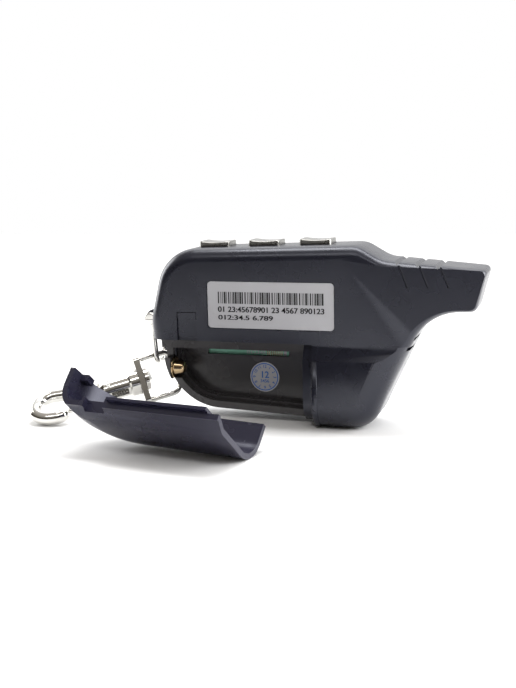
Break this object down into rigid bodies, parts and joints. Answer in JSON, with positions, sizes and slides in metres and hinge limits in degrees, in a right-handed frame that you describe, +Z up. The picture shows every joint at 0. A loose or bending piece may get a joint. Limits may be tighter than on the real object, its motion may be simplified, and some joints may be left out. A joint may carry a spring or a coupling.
{
  "type": "car alarm remote",
  "caption": "Hand-held car alarm remote with display, top buttons, stub antenna, lift-off battery cover laid in front, and key clip.",
  "frame": {"origin": "on the lower edge that the remote stands on, in the plane where the two halves of the case meet", "axes": "+X along the case toward the antenna, +Y from the label face toward the display, +Z up"},
  "size_m": [0.1147, 0.0593, 0.0462],
  "materials": {
    "case_plastic": "satin",
    "frame_plastic": "satin",
    "button_plate": "plated",
    "plated_wire": "plated",
    "spring_steel": "bright",
    "contact_brass": "plated",
    "board_green": "lacquered",
    "white_film": "printed film",
    "clear_lens": "clear",
    "display_panel": "smooth",
    "holder_plastic": "satin"
  },
  "bodies": {
    "case": {"rear_shell": "case_plastic", "front_shell": "case_plastic", "battery_frame": "frame_plastic", "positive_contact": "contact_brass", "negative_contact": "spring_steel", "circuit_board": "board_green", "board_screws": "spring_steel", "lcd_holder": "holder_plastic", "lcd_module": "display_panel", "display_lens": "clear_lens", "tact_switches": "frame_plastic", "buzzer": "frame_plastic", "antenna_coil": "contact_brass", "label_sticker": "white_film", "inspection_sticker": "white_film", "key_pin": "plated_wire"},
    "button_left": {"button_left": "button_plate"},
    "button_middle": {"button_middle": "button_plate"},
    "button_right": {"button_right": "button_plate"},
    "latch": {"cover_latch": "case_plastic"},
    "cover": {"battery_cover": "case_plastic"},
    "shackle": {"shackle": "plated_wire"},
    "swivel_frame": {"swivel_frame": "plated_wire"},
    "hook": {"hook": "plated_wire", "gate_rivet": "plated_wire", "gate_spring": "spring_steel"},
    "gate": {"hook_gate": "plated_wire"}
  },
  "joints": [
    {"name": "left_button_press", "type": "slide", "parent": "case", "child": "button_left", "axis": [0, 0, -1], "range_m": [0, 0.00035], "stiffness_N_per_m": 2500, "springref_m": -0.0001},
    {"name": "middle_button_press", "type": "slide", "parent": "case", "child": "button_middle", "axis": [0, 0, -1], "range_m": [0, 0.00035], "stiffness_N_per_m": 2500, "springref_m": -0.0001},
    {"name": "right_button_press", "type": "slide", "parent": "case", "child": "button_right", "axis": [0, 0, -1], "range_m": [0, 0.00035], "stiffness_N_per_m": 2500, "springref_m": -0.0001},
    {"name": "latch_slide", "type": "slide", "parent": "case", "child": "latch", "axis": [0, 0, -1], "range_m": [0, 0.0018]},
    {"name": "cover_swing", "type": "hinge", "parent": "case", "child": "cover", "pos_m": [-0.05251, -0.01577, -0.02098], "axis": [0.9789, -0.088, -0.1842], "range_deg": [-36, 0]},
    {"name": "shackle_swing", "type": "hinge", "parent": "case", "child": "shackle", "pos_m": [-0.0498, 0.0028, 0.0252], "axis": [0, 1, 0], "range_deg": [0, 120]},
    {"name": "frame_swing", "type": "hinge", "parent": "shackle", "child": "swivel_frame", "pos_m": [-0.049, 0.0028, 0.01325], "axis": [0, 1, 0], "range_deg": [0, 20]},
    {"name": "hook_swivel", "type": "hinge", "parent": "swivel_frame", "child": "hook", "pos_m": [-0.05265, -0.00265, 0.0087], "axis": [-0.7992, -0.5631, -0.2101], "continuous": true},
    {"name": "gate_swing", "type": "hinge", "parent": "hook", "child": "gate", "pos_m": [-0.05906, -0.00866, 0.00637], "axis": [-0.0368, 0.3947, -0.9181], "range_deg": [0, 22], "stiffness_Nm_per_rad": 0.01, "springref_deg": -17.19}
  ]
}
